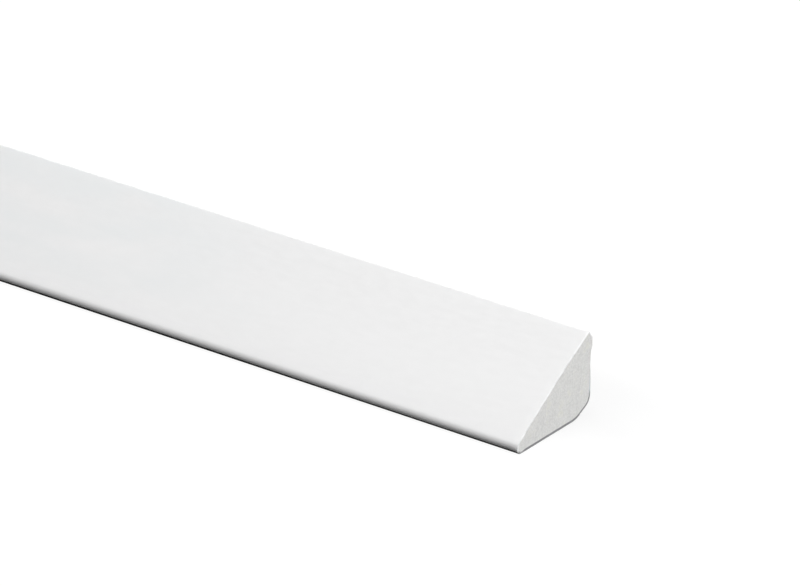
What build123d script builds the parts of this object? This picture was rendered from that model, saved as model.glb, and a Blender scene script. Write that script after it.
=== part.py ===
from build123d import *

import os
from math import acos, cos, degrees, radians, sin, tan

# Sizes in millimetres, angles in degrees.

# The stock
length = 2438.4
width = 27.0
height = 19.0

# The rounded toe along the front edge
toe_radius = 1.5

# The sloping face, very slightly domed from toe to ridge
face_radius = 280.0

# The ridge, cut off about square to the sloping face
ridge_setback = 1.45
ridge_radius = 0.5
facet_angle = 54.0
facet_foot_radius = 0.4

# The lip along the top of the back, and the relieved back below it
lip_bottom = 15.3
lip_step_rise = 1.0
lip_radius = 0.45
back_relief = 0.55

# The back tapers in to a shallow hollow, and steps out again below it
hollow_height = 10.9
hollow_depth = 0.2
hollow_step_rise = 1.5
hollow_radius = 2.0

# The heel, bevelled off between the back and the underside
heel_width = 5.3
heel_rise = 2.5
heel_radius = 3.2
heel_start_radius = 6.0

# The sawn ends, whose sharp edges are worn off
end_break = 0.2


def face_arc(toe_center, ridge_center):
    """Where the domed face leaves the toe's round, its middle, and where it meets the ridge's."""
    to_toe = face_radius - toe_radius
    to_ridge = face_radius - ridge_radius
    span = ridge_center - toe_center
    turn = acos((to_toe**2 + span.length**2 - to_ridge**2) / (2 * to_toe * span.length))
    center = toe_center + span.rotate(Axis.Z, -degrees(turn)).normalized() * to_toe
    start = center + (toe_center - center).normalized() * face_radius
    end = center + (ridge_center - center).normalized() * face_radius
    middle = center + ((start + end) * 0.5 - center).normalized() * face_radius
    return start, middle, end


def round_between(center, radius, start, end):
    """The shorter arc of this round from start to end."""
    outward = ((start - center) + (end - center)).normalized()
    return ThreePointArc(start, center + outward * radius, end)


def draw_outline():
    """The section from the underside by the toe, face, ridge and back to the heel.

    Returns the corners that are still to be rounded, each with its radius.
    """
    toe_center = Vector(toe_radius, toe_radius)
    ridge_center = Vector(width - ridge_setback, height - ridge_radius)
    facet_normal = Vector(sin(radians(facet_angle)), cos(radians(facet_angle)))
    face_start, face_middle, face_end = face_arc(toe_center, ridge_center)
    toe_foot = Vector(toe_radius, 0)
    facet_start = ridge_center + facet_normal * ridge_radius
    facet_drop = (width - facet_start.X) * tan(radians(facet_angle))
    facet_foot = Vector(width, facet_start.Y - facet_drop)
    back_y = width - back_relief
    lip_foot = Vector(width, lip_bottom)
    back_top = Vector(back_y, lip_bottom - lip_step_rise)
    hollow = Vector(back_y - hollow_depth, hollow_height)
    hollow_foot = Vector(back_y, hollow_height - hollow_step_rise)
    heel = Vector(back_y, heel_rise)
    heel_start = Vector(back_y - heel_width, 0)

    toe_front = Vector(0, toe_radius)
    round_between(toe_center, toe_radius, toe_foot, toe_front)
    round_between(toe_center, toe_radius, toe_front, face_start)
    ThreePointArc(face_start, face_middle, face_end)
    round_between(ridge_center, ridge_radius, face_end, facet_start)
    Polyline(facet_start, facet_foot, lip_foot, back_top, hollow, hollow_foot, heel, heel_start, toe_foot)
    return [
        (facet_foot, facet_foot_radius),
        (lip_foot, lip_radius),
        (back_top, lip_radius),
        (hollow, hollow_radius),
        (hollow_foot, hollow_radius),
        (heel, heel_radius),
        (heel_start, heel_start_radius),
    ]


def make_section():
    with BuildSketch() as section:
        with BuildLine():
            corners = draw_outline()
        make_face()
        for corner, radius in corners:
            vertex = min(section.vertices(), key=lambda v: (v.center() - corner).length)
            fillet(vertex, radius)
    return section.sketch


def make_moulding():
    section = make_section().moved(Location((-width / 2, 0, 0)))
    bar = extrude(Plane.YZ * section, amount=length)
    ends = bar.faces().sort_by(Axis.X)
    bar = chamfer(ends[0].edges() + ends[-1].edges(), end_break)
    return bar.moved(Location((-length / 2, 0, 0)))


os.makedirs("parts", exist_ok=True)
export_step(make_moulding(), "parts/triangular_moulding.step")
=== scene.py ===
import math

import bpy
from mathutils import Matrix, Vector


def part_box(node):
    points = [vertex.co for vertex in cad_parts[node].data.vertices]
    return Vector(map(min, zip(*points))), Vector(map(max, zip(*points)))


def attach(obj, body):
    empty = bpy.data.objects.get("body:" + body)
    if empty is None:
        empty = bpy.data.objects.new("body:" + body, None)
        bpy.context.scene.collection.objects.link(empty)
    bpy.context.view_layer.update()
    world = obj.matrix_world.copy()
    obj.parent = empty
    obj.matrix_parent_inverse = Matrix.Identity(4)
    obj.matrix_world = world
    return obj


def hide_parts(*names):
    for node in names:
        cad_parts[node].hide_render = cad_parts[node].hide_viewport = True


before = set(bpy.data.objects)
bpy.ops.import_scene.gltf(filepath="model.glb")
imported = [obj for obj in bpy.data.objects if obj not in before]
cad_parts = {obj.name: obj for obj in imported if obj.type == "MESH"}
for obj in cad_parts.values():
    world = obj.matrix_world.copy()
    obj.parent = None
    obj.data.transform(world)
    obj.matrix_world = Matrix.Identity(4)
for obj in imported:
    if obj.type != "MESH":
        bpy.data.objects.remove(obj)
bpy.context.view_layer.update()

# Lengths are in metres, and angles in degrees where their names say so.
MM = 0.001
NODE = "triangular_moulding"

bar_low, bar_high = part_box(NODE)
LENGTH = bar_high.x - bar_low.x
WIDTH = 27.0 * MM
HEIGHT = 19.0 * MM

# The section, as the solid has it
TOE_RADIUS = 1.5 * MM
FACE_RADIUS = 280.0 * MM
RIDGE_SETBACK = 1.45 * MM
RIDGE_RADIUS = 0.5 * MM
FACET_ANGLE_DEG = 54.0
FACET_FOOT_RADIUS = 0.4 * MM
LIP_BOTTOM = 15.3 * MM
LIP_STEP_RISE = 1.0 * MM
LIP_RADIUS = 0.45 * MM
BACK_RELIEF = 0.55 * MM
HOLLOW_HEIGHT = 10.9 * MM
HOLLOW_DEPTH = 0.2 * MM
HOLLOW_STEP_RISE = 1.5 * MM
HOLLOW_RADIUS = 2.0 * MM
HEEL_WIDTH = 5.3 * MM
HEEL_RISE = 2.5 * MM
HEEL_RADIUS = 3.2 * MM
HEEL_START_RADIUS = 6.0 * MM
END_BREAK = 0.2 * MM

# How finely the outline of the section is divided
OUTLINE_STEP = 0.5 * MM
OUTLINE_TURN_DEG = 12.0

# Relief: how large its waves, die lines and grain are, how far in from the rim the grain sets
# in, how close points are joined, and which stretch of noise is used
WAVE_SIZE = (250.0 * MM, 30.0 * MM, 30.0 * MM)
DIE_LINE_SIZE = (900.0 * MM, 1.7 * MM, 1.7 * MM)
GRAIN_SIZE = 0.8 * MM
GRAIN_FROM_RIM = 0.5 * MM
WELD = 0.001 * MM
SEED = 11
SEED_STEP = 10.0 * MM

# The camera, from the photograph: a point on the seen end and where it shows
VIEW_AZIMUTH_DEG = 36.867
VIEW_ELEVATION_DEG = 25.307
LENS_MM = 293.02
SENSOR_MM = 36.0
IMAGE_SIZE = (800, 586)
ANCHOR_PIXEL = (520.3, 453.3)
ANCHOR = Vector((bar_high.x, -12.403 * MM, 0.306 * MM))
ANCHOR_DEPTH = 1359.0 * MM

# Light: the world's level, and each lamp's name, direction, distance, width and level
WORLD_LIGHT = 0.05
LAMPS = (
    ("key", (0.62, -0.33, 0.72), 3.0, 1.9, 0.488),
    ("overhead", (-0.35, 0.0, 1.0), 4.0, 3.0, 0.308),
    ("near", (0.0, -0.15, 1.0), 0.3, 0.2, 0.105),
    ("side", (0.9, 0.0, 0.45), 2.2, 1.3, 0.61),
    ("behind", (-0.2, 0.95, 0.22), 4.0, 3.0, 0.80),
    ("far", (-0.95, 0.1, 0.14), 4.5, 2.5, 0.18),
    ("far_top", (-0.85, 0.1, 0.5), 3.6, 2.0, 0.14),
)

# The floor: its reach, how far it lies under the bar, how pale it shows, what it throws back
# and its glow
FLOOR_REACH = 60.0
FLOOR_DROP = 0.02 * MM
FLOOR_PALENESS = 0.10
FLOOR_BOUNCE = 0.035
FLOOR_GLOW = 0.93

# The shadow painted into the floor's glow by the seen end: its strength, where it sets in and fades along
# the bar, measured from the end, and where it does so across the bar
PAINTED_SHADOW_STRENGTH = 0.12
SHADE_START = (-90.0 * MM, -40.0 * MM)
SHADE_STOP = (-20.0 * MM, 40.0 * MM)
SHADE_FRONT = (-14.0 * MM, 10.0 * MM)
SHADE_BACK = (20.0 * MM, 42.0 * MM)

# Tones of the extruded skin
SKIN_DEEP = (0.835, 0.835, 0.835, 1.0)
SKIN_PALE = (0.905, 0.905, 0.905, 1.0)
# The palest tone is painted light, laid over the lower face to even out how the light falls across it
SKIN_PAINTED_LIGHT = (0.94, 0.94, 0.94, 1.0)
SKIN_COOL = (0.842, 0.862, 0.867, 1.0)
# The break tones are painted light: painted shade darkens the break at the cut, and a broken painted
# highlight is put back along its arris
BREAK_PAINTED_SHADE = (0.75, 0.75, 0.75, 1.0)
ARRIS_PAINTED_HIGHLIGHT = (0.88, 0.88, 0.88, 1.0)
# The darkest tone is painted shade: a contact shadow along the foot of the toe
TOE_PAINTED_SHADE = (0.01, 0.011, 0.012, 1.0)

# How strongly they show, and the skin's roughness, gloss and bumps
PAINTED_LIGHT_STRENGTH = 0.42
COOL_STRENGTH = 0.8
ARRIS_COVER = 0.5
TOE_LINE_LOSS_ON_BREAK = 0.45
SKIN_ROUGHNESS = 0.5
SKIN_ROUGHNESS_RISE = 0.2
SKIN_GLOSS = 0.12
DIE_LINE_BUMP = 0.012 * MM

# Where they set in and fade, by height, by distance from the cut or by the patches of noise
PALE_BAND_START = (1.2 * MM, 3.6 * MM)
PALE_BAND_STOP = (8.0 * MM, 18.0 * MM)
COOL_FROM_CUT = (55.0 * MM, 135.0 * MM)
COOL_HEIGHT = (2.5 * MM, 9.0 * MM)
COOL_PATCHES = (0.25, 0.7)
ARRIS_WIDTH = 0.34 * MM
ARRIS_GAP = 3.5 * MM
ARRIS_TIP = (15.5 * MM, 17.0 * MM)
TOE_LINE_HEIGHT = (0.74 * MM, 1.04 * MM)
TOE_LINE_RISE = 0.12 * MM
TOE_LINE_FROM_CUT = (20.0 * MM, 80.0 * MM)

# Tones of the sawn end
FOAM_DEEP = (0.55, 0.55, 0.54, 1.0)
FOAM_PALE = (1.0, 1.0, 0.984, 1.0)
FOAM_YELLOW = (0.80, 0.80, 0.72, 1.0)
SCORCH = (0.55, 0.54, 0.47, 1.0)
# The dark and blue tones are painted shade: the contact shadow along the end's foot and heel, bluer higher
# up
FOOT_SHADE_DARK = (0.11, 0.115, 0.13, 1.0)
FOOT_SHADE_BLUE = (0.64, 0.71, 0.74, 1.0)

# How strongly they show, and the sawn end's roughness, gloss and bumps
FOAM_YELLOW_STRENGTH = 0.35
SCORCH_STRENGTH = 0.5
SCORCH_COVER = 0.48
FOOT_LINE_STRENGTH = 0.75
FOAM_ROUGHNESS = 0.88
FOAM_GLOSS = 0.2
FOAM_BUMP = 0.04 * MM

# Where they set in and fade, by distance from the rim, by how far the rim faces up, by height,
# or by distance from the toe's front
SCORCH_WIDTH = 0.3 * MM
SCORCH_GAP = 1.2 * MM
FOOT_LINE_WIDTH = (0.38 * MM, 0.60 * MM)
FOOT_LINE_FACING = (0.0, 0.3)
FOOT_LINE_HEIGHT = (4.8 * MM, 10.0 * MM)
FOOT_LINE_FROM_TOE = (0.4 * MM, 2.4 * MM)
FOOT_SHADE_BLUE_HEIGHT = (3.5 * MM, 6.0 * MM)


# The outline of the section

def steps_along(length, turn=0.0):
    """How many stretches a run of the outline is divided into."""
    by_length = math.ceil(length / OUTLINE_STEP)
    by_turn = math.ceil(abs(turn) / math.radians(OUTLINE_TURN_DEG))
    return max(by_length, by_turn, 1)


def straight(start, end):
    """Points from start up to, but not including, end."""
    steps = steps_along((end - start).length)
    return [start.lerp(end, step / steps) for step in range(steps)]


def arc(center, start, end):
    """Points on the shorter round about center from start up to, but not including, end."""
    spoke, last = start - center, end - center
    turn = math.atan2(spoke.x * last.y - spoke.y * last.x, spoke.dot(last))
    steps = steps_along(spoke.length * abs(turn), turn)
    return [center + Matrix.Rotation(turn * step / steps, 2) @ spoke for step in range(steps)]


def round_in(before, corner, after, radius):
    """Centre, start and end of the round that fits between the two runs at a corner."""
    back, on = (before - corner).normalized(), (after - corner).normalized()
    half = back.angle(on) / 2
    reach = radius / math.tan(half)
    center = corner + (back + on).normalized() * radius / math.sin(half)
    return center, corner + back * reach, corner + on * reach


def face_round(toe_center, ridge_center):
    """Centre, start and end of the domed face, which touches the rounds of toe and ridge."""
    to_toe = FACE_RADIUS - TOE_RADIUS
    to_ridge = FACE_RADIUS - RIDGE_RADIUS
    span = ridge_center - toe_center
    turn = math.acos((to_toe**2 + span.length**2 - to_ridge**2) / (2 * to_toe * span.length))
    center = toe_center + (Matrix.Rotation(-turn, 2) @ span).normalized() * to_toe
    start = center + (toe_center - center).normalized() * FACE_RADIUS
    end = center + (ridge_center - center).normalized() * FACE_RADIUS
    return center, start, end


def section_outline():
    """The section's outline as (y, z) points, from under the toe over the ridge to the heel."""
    facet = math.radians(FACET_ANGLE_DEG)
    toe_center = Vector((TOE_RADIUS, TOE_RADIUS))
    ridge_center = Vector((WIDTH - RIDGE_SETBACK, HEIGHT - RIDGE_RADIUS))
    face_center, face_start, face_end = face_round(toe_center, ridge_center)
    toe_foot = Vector((TOE_RADIUS, 0))
    facet_start = ridge_center + Vector((math.sin(facet), math.cos(facet))) * RIDGE_RADIUS
    facet_drop = (WIDTH - facet_start.x) * math.tan(facet)
    facet_foot = Vector((WIDTH, facet_start.y - facet_drop))
    back_y = WIDTH - BACK_RELIEF
    lip_foot = Vector((WIDTH, LIP_BOTTOM))
    back_top = Vector((back_y, LIP_BOTTOM - LIP_STEP_RISE))
    hollow = Vector((back_y - HOLLOW_DEPTH, HOLLOW_HEIGHT))
    hollow_foot = Vector((back_y, HOLLOW_HEIGHT - HOLLOW_STEP_RISE))
    heel = Vector((back_y, HEEL_RISE))
    heel_start = Vector((back_y - HEEL_WIDTH, 0))

    outline = [
        *arc(toe_center, toe_foot, face_start),
        *arc(face_center, face_start, face_end),
        *arc(ridge_center, face_end, facet_start),
    ]
    corners = [
        facet_start, facet_foot, lip_foot, back_top, hollow, hollow_foot, heel, heel_start, toe_foot,
    ]
    radii = [
        FACET_FOOT_RADIUS, LIP_RADIUS, LIP_RADIUS, HOLLOW_RADIUS, HOLLOW_RADIUS, HEEL_RADIUS,
        HEEL_START_RADIUS,
    ]
    reached = facet_start
    for before, corner, after, radius in zip(corners, corners[1:], corners[2:], radii):
        center, start, end = round_in(before, corner, after, radius)
        outline += [*straight(reached, start), *arc(center, start, end)]
        reached = end
    return [*outline, *straight(reached, toe_foot)]


# Node trees

class Wire:
    """A value in a node tree, on which plain arithmetic adds the nodes that work it out."""

    def __init__(self, tree, socket):
        self.tree = tree
        self.socket = socket

    def math(self, operation, *others, clamp=False):
        node = self.tree.nodes.new("ShaderNodeMath")
        node.operation = operation
        node.use_clamp = clamp
        for slot, value in zip(node.inputs, (self, *others)):
            plug(value, slot)
        return Wire(self.tree, node.outputs[0])

    def __add__(self, other):
        return self.math("ADD", other)

    def __sub__(self, other):
        return self.math("SUBTRACT", other)

    def __rsub__(self, other):
        return self.math("MULTIPLY_ADD", -1.0, other)

    def __mul__(self, other):
        return self.math("MULTIPLY", other)

    def __truediv__(self, other):
        return self.math("DIVIDE", other)

    def __rtruediv__(self, other):
        return self.math("POWER", -1.0) * other

    __radd__ = __add__
    __rmul__ = __mul__

    def clamped(self):
        return self.math("ADD", 0.0, clamp=True)


def plug(value, slot):
    """Joins a wire to an input, or sets the input to a plain value."""
    if isinstance(value, Wire):
        value.tree.links.new(value.socket, slot)
    else:
        slot.default_value = value


def add_node(tree, kind, inputs=None, **settings):
    """A new node with its settings made and its inputs joined or set, by name or number."""
    node = tree.nodes.new(kind)
    for name, value in settings.items():
        setattr(node, name, value)
    for name, value in (inputs or {}).items():
        plug(value, node.inputs[name])
    return node


def output(node, name=0):
    return Wire(node.id_data, node.outputs[name])


def vector_math(tree, operation, *values):
    node = add_node(tree, "ShaderNodeVectorMath", dict(enumerate(values)), operation=operation)
    return output(node)


def scaled(tree, vector, factor):
    node = add_node(tree, "ShaderNodeVectorMath", {0: vector, "Scale": factor}, operation="SCALE")
    return output(node)


def combine(tree, x, y, z):
    return output(add_node(tree, "ShaderNodeCombineXYZ", {"X": x, "Y": y, "Z": z}))


def separate(vector):
    node = add_node(vector.tree, "ShaderNodeSeparateXYZ", {0: vector})
    return [output(node, axis) for axis in "XYZ"]


def scaled_noise(tree, vector, sizes, detail=2.0, roughness=0.5):
    """Smooth noise from 0 to 1, whose lumps have these sizes along X, Y and Z."""
    stretched = vector_math(tree, "DIVIDE", vector, sizes)
    noise = add_node(
        tree, "ShaderNodeTexNoise",
        {"Vector": stretched, "Scale": 1.0, "Detail": detail, "Roughness": roughness},
    )
    return output(noise)


# The bar's shape, as a node tree

SWEEP_INPUTS = (
    ("Length", "NodeSocketFloat", LENGTH),
    ("End Break", "NodeSocketFloat", END_BREAK),
    ("Break Rings", "NodeSocketInt", 4),
    ("Cap Rings", "NodeSocketInt", 56),
    ("Side Rings", "NodeSocketInt", 400),
    ("Crowding", "NodeSocketFloat", 0.75),
    ("Cap Centre", "NodeSocketVector", (0.0, 6.0 * MM, 7.0 * MM)),
    ("Wave Depth", "NodeSocketFloat", 0.05 * MM),
    ("Die Line Depth", "NodeSocketFloat", 0.012 * MM),
    ("Grain Depth", "NodeSocketFloat", 0.05 * MM),
    ("Grain Size", "NodeSocketFloat", GRAIN_SIZE),
    ("Seed", "NodeSocketInt", SEED),
    ("Skin", "NodeSocketMaterial", None),
    ("Sawn End", "NodeSocketMaterial", None),
)


def position(tree):
    return output(add_node(tree, "GeometryNodeInputPosition"))


def outline_point(tree, section, columns, index):
    """Where the outline's point with this number lies; after the last comes the first again."""
    wrapped = index.math("FLOORED_MODULO", columns)
    return output(add_node(
        tree, "GeometryNodeSampleIndex",
        {"Geometry": section, "Value": position(tree), "Index": wrapped},
        data_type="FLOAT_VECTOR", domain="POINT",
    ))


def ring_places(size, near_rows, row, from_end, side):
    """How filled in each ring is, how far it is drawn in, and where along the bar it stands."""
    fill = (from_end / size["Cap Rings"]).clamped()
    turn = ((from_end - size["Cap Rings"]) / size["Break Rings"]).clamped() * (math.pi / 2)
    inset = size["End Break"] * (1.0 - turn.math("SINE"))
    setback = size["End Break"] * (1.0 - turn.math("COSINE"))
    half = size["Length"] * 0.5
    along = 1.0 - 2.0 * ((row - near_rows) / size["Side Rings"]).clamped()
    crowded = along + (along * math.pi).math("SINE") * size["Crowding"] / math.pi
    on_side = (from_end - near_rows).math("GREATER_THAN", 0.5)
    x_end = side * (half - setback)
    x_side = (half - size["End Break"]) * crowded
    return fill, inset, x_end + on_side * (x_side - x_end)


def swept_rings(tree, section, size):
    """The closed bar, made of a column for each point of the outline and a row for each ring."""
    domain = add_node(tree, "GeometryNodeAttributeDomainSize", {"Geometry": section})
    columns = output(domain, "Point Count")
    near_rows = size["Cap Rings"] + size["Break Rings"]
    rows = 2.0 * near_rows + size["Side Rings"] + 1.0
    sheet = add_node(tree, "GeometryNodeMeshGrid", {
        "Size X": columns, "Size Y": rows - 1.0, "Vertices X": columns + 1.0, "Vertices Y": rows,
    })
    place = separate(position(tree))
    column = (place[0] + columns * 0.5).math("ROUND")
    row = (place[1] + (rows - 1.0) * 0.5).math("ROUND")
    from_end = row.math("MINIMUM", rows - 1.0 - row)
    side = (rows * 0.5 - row).math("SIGN")
    fill, inset, x = ring_places(size, near_rows, row, from_end, side)

    here, after, before = [
        outline_point(tree, section, columns, index) for index in (column, column + 1.0, column - 1.0)
    ]
    ahead = vector_math(tree, "NORMALIZE", vector_math(tree, "SUBTRACT", after, here))
    behind = vector_math(tree, "NORMALIZE", vector_math(tree, "SUBTRACT", here, before))
    heading = vector_math(tree, "ADD", ahead, behind)
    sideways = vector_math(tree, "CROSS_PRODUCT", (1.0, 0.0, 0.0), heading)
    outward = vector_math(tree, "NORMALIZE", sideways)
    edge = vector_math(tree, "SUBTRACT", here, scaled(tree, outward, inset))
    spoke = vector_math(tree, "SUBTRACT", edge, size["Cap Centre"])
    ring = vector_math(tree, "ADD", size["Cap Centre"], scaled(tree, spoke, fill))
    point = vector_math(tree, "ADD", ring, combine(tree, x, 0.0, 0.0))
    reach = output(add_node(
        tree, "ShaderNodeVectorMath", {0: spoke, 1: outward}, operation="DOT_PRODUCT",
    ), "Value")

    stored = output(sheet, "Mesh")
    for name, kind, value in (
        ("outward", "FLOAT_VECTOR", outward),
        ("end_face", "FLOAT", (size["Cap Rings"] - from_end).clamped()),
        ("side_sign", "FLOAT", side),
        ("from_rim", "FLOAT", reach * (1.0 - fill)),
    ):
        stored = output(add_node(
            tree, "GeometryNodeStoreNamedAttribute",
            {"Geometry": stored, "Name": name, "Value": value},
            data_type=kind, domain="POINT",
        ))
    placed = output(add_node(tree, "GeometryNodeSetPosition", {"Geometry": stored, "Position": point}))
    return output(add_node(
        tree, "GeometryNodeMergeByDistance", {"Geometry": placed, "Distance": WELD}
    ))


def stored_value(tree, name, kind="FLOAT"):
    """What the rings stored on the mesh under this name."""
    return output(add_node(tree, "GeometryNodeInputNamedAttribute", {"Name": name}, data_type=kind))


def with_relief(tree, bar, size):
    """The bar with its relief, all of it cut in and none standing out."""
    aside = combine(tree, 0.0, size["Seed"] * SEED_STEP, 0.0)
    at = vector_math(tree, "ADD", position(tree), aside)
    end_face = stored_value(tree, "end_face")
    waves = scaled_noise(tree, at, WAVE_SIZE, detail=1.0)
    lines = scaled_noise(tree, at, DIE_LINE_SIZE, detail=1.0)
    skin_cut = waves * size["Wave Depth"] + lines * size["Die Line Depth"]
    outward = stored_value(tree, "outward", "FLOAT_VECTOR")
    skin_relief = scaled(tree, outward, skin_cut * (end_face - 1.0))
    grain = output(add_node(
        tree, "ShaderNodeTexVoronoi",
        {"Vector": at, "Scale": 1.0 / size["Grain Size"], "Randomness": 1.0}, feature="SMOOTH_F1",
    ), "Distance")
    rim_fade = (stored_value(tree, "from_rim") / GRAIN_FROM_RIM).clamped()
    grain_cut = grain.clamped() * size["Grain Depth"] * end_face * rim_fade
    inward = grain_cut * stored_value(tree, "side_sign") * -1.0
    relief = vector_math(tree, "ADD", skin_relief, combine(tree, inward, 0.0, 0.0))
    return output(add_node(tree, "GeometryNodeSetPosition", {"Geometry": bar, "Offset": relief}))


def with_materials(tree, bar, size):
    """The whole bar, smooth, with the skin's material along it and the sawn one on both ends."""
    smooth = output(add_node(tree, "GeometryNodeSetShadeSmooth", {"Geometry": bar}))
    whole = output(add_node(tree, "GeometryNodeRealizeInstances", {"Geometry": smooth}))
    skinned = output(add_node(
        tree, "GeometryNodeSetMaterial", {"Geometry": whole, "Material": size["Skin"]}
    ))
    on_end = stored_value(tree, "end_face").math("GREATER_THAN", 0.5)
    return output(add_node(
        tree, "GeometryNodeSetMaterial",
        {"Geometry": skinned, "Selection": on_end, "Material": size["Sawn End"]},
    ))


def sweep_tree():
    """Sweeps the section along the bar, closes and wears its ends, and gives it its relief."""
    tree = bpy.data.node_groups.new("sweep_section", "GeometryNodeTree")
    tree.interface.new_socket("Geometry", in_out="INPUT", socket_type="NodeSocketGeometry")
    for name, kind, _ in SWEEP_INPUTS:
        tree.interface.new_socket(name, in_out="INPUT", socket_type=kind)
    tree.interface.new_socket("Geometry", in_out="OUTPUT", socket_type="NodeSocketGeometry")
    given = add_node(tree, "NodeGroupInput")
    size = {name: output(given, name) for name, _, _ in SWEEP_INPUTS}
    closed = swept_rings(tree, output(given, "Geometry"), size)
    finished = with_materials(tree, with_relief(tree, closed, size), size)
    add_node(tree, "NodeGroupOutput", {"Geometry": finished})
    return tree


def make_bar(skin, sawn_end):
    """The moulding: its outline drawn as a closed wire, then swept by the node tree."""
    points = [(0.0, point.x - WIDTH / 2, point.y) for point in section_outline()]
    edges = [(index, (index + 1) % len(points)) for index in range(len(points))]
    wire = bpy.data.meshes.new("section_wire")
    wire.from_pydata(points, edges, [])
    carrier = bpy.data.objects.new("section_wire", wire)
    bpy.context.scene.collection.objects.link(carrier)

    sweep = carrier.modifiers.new("sweep_section", "NODES")
    sweep.node_group = sweep_tree()
    given = {name: value for name, _, value in SWEEP_INPUTS}
    given["Skin"] = skin
    given["Sawn End"] = sawn_end
    for item in sweep.node_group.interface.items_tree:
        if item.in_out == "INPUT" and item.name in given:
            sweep[item.identifier] = given[item.name]
    evaluated = carrier.evaluated_get(bpy.context.evaluated_depsgraph_get())
    mesh = bpy.data.meshes.new_from_object(evaluated)
    mesh.name = "moulding"
    bpy.data.objects.remove(carrier)
    bar = bpy.data.objects.new("moulding", mesh)
    bpy.context.scene.collection.objects.link(bar)
    return bar


# Materials

def material_tree(name):
    material = bpy.data.materials.new(name)
    material.use_nodes = True
    material.node_tree.nodes.clear()
    return material, material.node_tree


def effect_group(name, inputs, outputs):
    """A new shader group with these named inputs and outputs, and a wire for each input."""
    tree = bpy.data.node_groups.new(name, "ShaderNodeTree")
    for label, kind, value in inputs:
        tree.interface.new_socket(label, in_out="INPUT", socket_type=kind).default_value = value
    for label, kind in outputs:
        tree.interface.new_socket(label, in_out="OUTPUT", socket_type=kind)
    given = add_node(tree, "NodeGroupInput")
    return tree, [output(given, label) for label, _, _ in inputs]


def use_group(tree, group, inputs):
    """A shared effect at work in a material; its outputs are wires by name."""
    node = tree.nodes.new("ShaderNodeGroup")
    node.node_tree = group
    for name, value in inputs.items():
        plug(value, node.inputs[name])
    return {socket.name: output(node, socket.name) for socket in node.outputs}


def smooth_step(value, low, high):
    """Rises smoothly from 0 to 1 as the value goes from low to high."""
    node = add_node(
        value.tree, "ShaderNodeMapRange", {"Value": value, "From Min": low, "From Max": high},
        interpolation_type="SMOOTHSTEP",
    )
    return output(node)


def blend(tree, factor, first, second):
    """A colour between two colours."""
    node = tree.nodes.new("ShaderNodeMix")
    node.data_type = "RGBA"
    for slot, value in zip((node.inputs[0], node.inputs[6], node.inputs[7]), (factor, first, second)):
        plug(value, slot)
    return Wire(tree, node.outputs[2])


def attribute(tree, name, kind="Fac"):
    return output(add_node(tree, "ShaderNodeAttribute", attribute_name=name), kind)


def object_place(tree):
    return output(add_node(tree, "ShaderNodeTexCoord"), "Object")


def soft_mottling():
    """Soft lumps and streaks along the bar, and broad patches, each from 0 to 1."""
    tree, (place, length, width, streak) = effect_group(
        "soft_mottling",
        (
            ("Vector", "NodeSocketVector", (0.0, 0.0, 0.0)),
            ("Lump Length", "NodeSocketFloat", 3.6 * MM),
            ("Lump Width", "NodeSocketFloat", 1.5 * MM),
            ("Streak Length", "NodeSocketFloat", 14.0 * MM),
        ),
        (("Tone", "NodeSocketFloat"), ("Patches", "NodeSocketFloat")),
    )
    lumps = scaled_noise(tree, place, combine(tree, length, width, width), detail=2.0)
    streaks = scaled_noise(tree, place, combine(tree, streak, width * 0.5, width * 0.5), detail=2.0)
    broad = scaled_noise(tree, place, combine(tree, length * 6.0, width * 5.0, width * 5.0), detail=1.0)
    add_node(tree, "NodeGroupOutput", {"Tone": lumps * 0.75 + streaks * 0.25, "Patches": broad})
    return tree


def broken_line():
    """A line of this width from an edge, broken up by noise in places; 1 on the line."""
    tree, (distance, width, place, gap_size, cover) = effect_group(
        "broken_line",
        (
            ("Distance", "NodeSocketFloat", 0.0),
            ("Width", "NodeSocketFloat", 0.2 * MM),
            ("Vector", "NodeSocketVector", (0.0, 0.0, 0.0)),
            ("Gap Size", "NodeSocketFloat", 2.0 * MM),
            ("Cover", "NodeSocketFloat", 0.5),
        ),
        (("Mask", "NodeSocketFloat"),),
    )
    near = 1.0 - smooth_step(distance / width, 0.6, 1.0)
    breakup = scaled_noise(tree, place, combine(tree, gap_size, gap_size, gap_size), detail=2.0)
    left = smooth_step(breakup + cover - 1.0, -0.08, 0.08)
    add_node(tree, "NodeGroupOutput", {"Mask": near * left})
    return tree


def foam_cells():
    """The torn cells of sawn foam: their tone and height, and where the foam is tinted."""
    tree, (place, cell, patch) = effect_group(
        "foam_cells",
        (
            ("Vector", "NodeSocketVector", (0.0, 0.0, 0.0)),
            ("Cell Size", "NodeSocketFloat", 0.4 * MM),
            ("Patch Size", "NodeSocketFloat", 2.0 * MM),
        ),
        (("Tone", "NodeSocketFloat"), ("Height", "NodeSocketFloat"), ("Tint", "NodeSocketFloat")),
    )
    torn = scaled_noise(tree, place, combine(tree, cell, cell, cell), detail=3.0, roughness=0.6)
    pores = output(add_node(
        tree, "ShaderNodeTexVoronoi",
        {"Vector": place, "Scale": 1.0 / (cell * 1.6), "Randomness": 1.0}, feature="F1",
    ), "Distance")
    patches = scaled_noise(tree, place, combine(tree, patch, patch, patch), detail=2.0)
    tone = torn * 0.65 + (1.0 - pores) * 0.2 + patches * 0.15
    tint = smooth_step(patches, 0.56, 0.68)
    add_node(tree, "NodeGroupOutput", {"Tone": tone, "Height": torn * 0.5 + pores * 0.5, "Tint": tint})
    return tree


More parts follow.
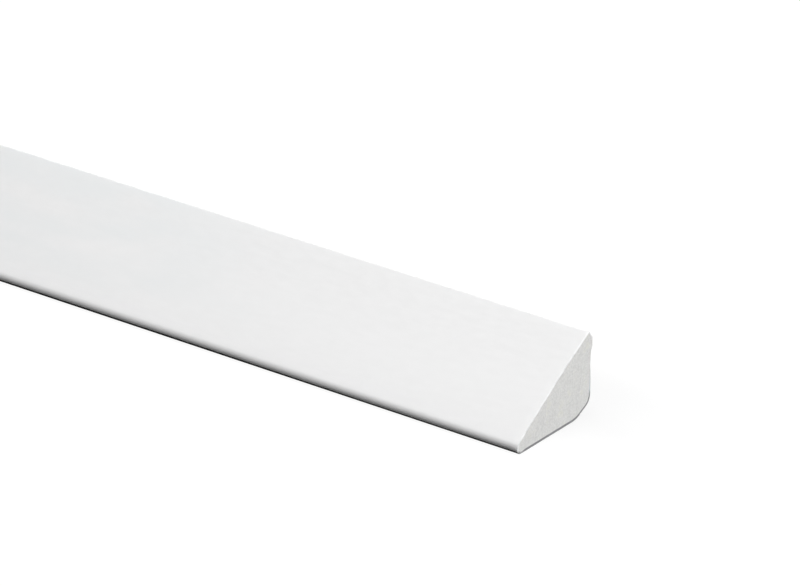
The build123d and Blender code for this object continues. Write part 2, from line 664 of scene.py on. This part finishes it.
def die_lines():
    """The height of the fine lines that the die leaves along the bar, from 0 to 1."""
    tree, (place, spacing) = effect_group(
        "die_lines",
        (("Vector", "NodeSocketVector", (0.0, 0.0, 0.0)), ("Spacing", "NodeSocketFloat", 0.5 * MM)),
        (("Height", "NodeSocketFloat"),),
    )
    lines = scaled_noise(tree, place, combine(tree, 0.5, spacing, spacing), detail=2.0)
    dimple = combine(tree, spacing * 6.0, spacing * 2.0, spacing * 2.0)
    dimples = scaled_noise(tree, place, dimple, detail=2.0)
    add_node(tree, "NodeGroupOutput", {"Height": lines * 0.5 + dimples * 0.5})
    return tree


def bumped(tree, height, depth):
    bump = add_node(tree, "ShaderNodeBump", {"Height": height, "Distance": depth, "Strength": 1.0})
    return output(bump)


def extruded_skin(mottling, line, lines):
    """White foamed plastic as it comes from the die, with painted light: a lighter lower face, painted
    shade on the break at the cut with a broken painted highlight along its arris, and painted shade along
    the foot of the toe.
    """
    material, tree = material_tree("extruded_skin")
    place = object_place(tree)
    along, _, up = separate(place)
    from_cut = LENGTH / 2 - along.math("ABSOLUTE")
    tones = use_group(tree, mottling, {"Vector": place})
    white = blend(tree, tones["Tone"], SKIN_DEEP, SKIN_PALE)
    # Painted light: a lighter band over the lower face evens out its shading from the toe upwards
    painted_light_band = smooth_step(up, *PALE_BAND_START) - smooth_step(up, *PALE_BAND_STOP)
    painted_lighter = blend(tree, painted_light_band * PAINTED_LIGHT_STRENGTH, white, SKIN_PAINTED_LIGHT)
    cool_part = smooth_step(from_cut, *COOL_FROM_CUT) * smooth_step(up, *COOL_HEIGHT)
    cool = smooth_step(tones["Patches"], *COOL_PATCHES) * cool_part
    tinted = blend(tree, cool * COOL_STRENGTH, painted_lighter, SKIN_COOL)

    # Painted light at the cut: painted shade darkens the break, and a broken line of lighter tone is
    # painted back along the arris as its highlight
    on_break = 1.0 - smooth_step(from_cut, END_BREAK * 0.9, END_BREAK * 1.1)
    shaded_break = blend(tree, on_break, tinted, BREAK_PAINTED_SHADE)
    arris = use_group(tree, line, {
        "Distance": from_cut, "Width": ARRIS_WIDTH, "Vector": place, "Gap Size": ARRIS_GAP,
        "Cover": ARRIS_COVER + smooth_step(up, *ARRIS_TIP) * (1.0 - ARRIS_COVER),
    })["Mask"]
    bright = blend(tree, arris, shaded_break, ARRIS_PAINTED_HIGHLIGHT)

    # Painted shade: a dark contact-shadow line along the foot of the toe, rising a little away from the
    # cut, with the gloss taken off under it so it holds no reflection
    above_line = up - smooth_step(from_cut, *TOE_LINE_FROM_CUT) * TOE_LINE_RISE
    off_break = 1.0 - on_break * TOE_LINE_LOSS_ON_BREAK
    painted_toe_shade = (1.0 - smooth_step(above_line, *TOE_LINE_HEIGHT)) * off_break
    color = blend(tree, painted_toe_shade, bright, TOE_PAINTED_SHADE)
    shader = add_node(tree, "ShaderNodeBsdfPrincipled", {
        "Base Color": color,
        "Roughness": SKIN_ROUGHNESS + tones["Tone"] * SKIN_ROUGHNESS_RISE,
        "Specular IOR Level": SKIN_GLOSS * (1.0 - painted_toe_shade),
        "Normal": bumped(tree, use_group(tree, lines, {"Vector": place})["Height"], DIE_LINE_BUMP),
    })
    add_node(tree, "ShaderNodeOutputMaterial", {"Surface": output(shader)})
    return material


def sawn_foam(cells, line):
    """The sawn end: greyer, granular, with a dark line of painted shade along its foot and heel."""
    material, tree = material_tree("sawn_foam")
    place = object_place(tree)
    _, across, up = separate(place)
    rim = attribute(tree, "from_rim")
    faces_up = separate(attribute(tree, "outward", "Vector"))[2]
    grain = use_group(tree, cells, {"Vector": place})
    grey = blend(tree, grain["Tone"], FOAM_DEEP, FOAM_PALE)
    tinted = blend(tree, grain["Tint"] * FOAM_YELLOW_STRENGTH, grey, FOAM_YELLOW)
    scorch = use_group(tree, line, {
        "Distance": rim, "Width": SCORCH_WIDTH, "Vector": place, "Gap Size": SCORCH_GAP,
        "Cover": SCORCH_COVER,
    })["Mask"]
    edged = blend(tree, scorch * SCORCH_STRENGTH, tinted, SCORCH)

    # Painted shade: a dark line at the rim where it faces down, low on the end and past the toe's front,
    # turning bluish higher up
    faces_down = 1.0 - smooth_step(faces_up, *FOOT_LINE_FACING)
    low = faces_down * (1.0 - smooth_step(up, *FOOT_LINE_HEIGHT))
    past_toe = smooth_step(across + WIDTH / 2, *FOOT_LINE_FROM_TOE)
    at_rim = 1.0 - smooth_step(rim, *FOOT_LINE_WIDTH)
    foot_shade_mask = at_rim * low * past_toe * FOOT_LINE_STRENGTH
    painted_foot_shade = blend(tree, smooth_step(up, *FOOT_SHADE_BLUE_HEIGHT), FOOT_SHADE_DARK, FOOT_SHADE_BLUE)
    shader = add_node(tree, "ShaderNodeBsdfPrincipled", {
        "Base Color": blend(tree, foot_shade_mask, edged, painted_foot_shade),
        "Roughness": FOAM_ROUGHNESS,
        "Specular IOR Level": FOAM_GLOSS,
        "Normal": bumped(tree, grain["Height"], FOAM_BUMP),
    })
    add_node(tree, "ShaderNodeOutputMaterial", {"Surface": output(shader)})
    return material


def seen_directly(tree):
    """1 where the camera sees a surface, straight or mirrored, and 0 where light bounces off it."""
    rays = add_node(tree, "ShaderNodeLightPath")
    straight_or_mirrored = output(rays, "Is Camera Ray") + output(rays, "Is Glossy Ray")
    return (straight_or_mirrored + output(rays, "Is Transmission Ray")).clamped()


def floor_paper():
    """White paper that throws little light up under the bar, with the bar's faint shadow on it and a
    painted shadow in its glow by the seen end.
    """
    material, tree = material_tree("floor_paper")
    seen = seen_directly(tree)
    paleness = FLOOR_BOUNCE + seen * (FLOOR_PALENESS - FLOOR_BOUNCE)
    paper = add_node(tree, "ShaderNodeBsdfDiffuse", {"Color": combine(tree, paleness, paleness, paleness)})
    along, across, _ = separate(object_place(tree))
    past_end = along - bar_high.x
    # Painted shadow: the glow is dimmed beside and behind the seen end
    beside_end = smooth_step(past_end, *SHADE_START) - smooth_step(past_end, *SHADE_STOP)
    behind = smooth_step(across, *SHADE_FRONT) - smooth_step(across, *SHADE_BACK)
    glow = add_node(tree, "ShaderNodeEmission", {
        "Color": (1.0, 1.0, 1.0, 1.0),
        "Strength": seen * (FLOOR_GLOW - beside_end * behind * PAINTED_SHADOW_STRENGTH),
    })
    both = add_node(tree, "ShaderNodeAddShader", {0: output(paper), 1: output(glow)})
    add_node(tree, "ShaderNodeOutputMaterial", {"Surface": output(both)})
    return material


# Floor, light and camera

def make_floor():
    mesh = bpy.data.meshes.new("floor")
    corners = [
        (x * FLOOR_REACH, y * FLOOR_REACH, -FLOOR_DROP) for x, y in ((-1, -1), (1, -1), (1, 1), (-1, 1))
    ]
    mesh.from_pydata(corners, [], [(0, 1, 2, 3)])
    mesh.materials.append(floor_paper())
    floor = bpy.data.objects.new("floor", mesh)
    bpy.context.scene.collection.objects.link(floor)


def make_world():
    world = bpy.data.worlds.new("studio")
    bpy.context.scene.world = world
    world.use_nodes = True
    tree = world.node_tree
    tree.nodes.clear()
    strength = WORLD_LIGHT + seen_directly(tree) * (1.0 - WORLD_LIGHT)
    sky = add_node(tree, "ShaderNodeBackground", {"Color": (1.0, 1.0, 1.0, 1.0), "Strength": strength})
    add_node(tree, "ShaderNodeOutputWorld", {"Surface": output(sky)})


def add_lamp(name, toward, distance, width, level):
    """A round soft lamp that looks at the seen end, and lights a white sheet facing it to this level."""
    direction = Vector(toward).normalized()
    lamp = bpy.data.lights.new(name, "AREA")
    lamp.shape = "DISK"
    lamp.size = width
    lamp.energy = level * (math.pi * distance) ** 2
    holder = bpy.data.objects.new(name, lamp)
    holder.location = Vector((bar_high.x, 0.0, 0.0)) + direction * distance
    holder.rotation_euler = direction.to_track_quat("Z", "Y").to_euler()
    holder.visible_camera = False
    bpy.context.scene.collection.objects.link(holder)


def make_lights():
    for lamp in LAMPS:
        add_lamp(*lamp)


def make_camera():
    azimuth, elevation = math.radians(VIEW_AZIMUTH_DEG), math.radians(VIEW_ELEVATION_DEG)
    back = Vector((
        math.sin(azimuth) * math.cos(elevation),
        -math.cos(azimuth) * math.cos(elevation),
        math.sin(elevation),
    ))
    right = Vector((math.cos(azimuth), math.sin(azimuth), 0.0))
    up = back.cross(right)
    pixels = LENS_MM / SENSOR_MM * IMAGE_SIZE[0]
    aside = (ANCHOR_PIXEL[0] - IMAGE_SIZE[0] / 2) / pixels
    below = (ANCHOR_PIXEL[1] - IMAGE_SIZE[1] / 2) / pixels
    place = ANCHOR + ANCHOR_DEPTH * (back - aside * right + below * up)
    data = bpy.data.cameras.new("camera")
    data.lens = LENS_MM
    data.sensor_width = SENSOR_MM
    data.sensor_fit = "HORIZONTAL"
    data.clip_start = 0.05
    data.clip_end = 500.0
    camera = bpy.data.objects.new("camera", data)
    turn = Matrix((right, up, back)).transposed().to_4x4()
    camera.matrix_world = Matrix.Translation(place) @ turn
    bpy.context.scene.collection.objects.link(camera)
    bpy.context.scene.camera = camera


bpy.context.scene.view_settings.view_transform = "Standard"
make_camera()
make_world()
make_lights()
make_floor()

edge_line = broken_line()
skin = extruded_skin(soft_mottling(), edge_line, die_lines())
moulding = make_bar(skin, sawn_foam(foam_cells(), edge_line))
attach(moulding, "root")
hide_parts(NODE)
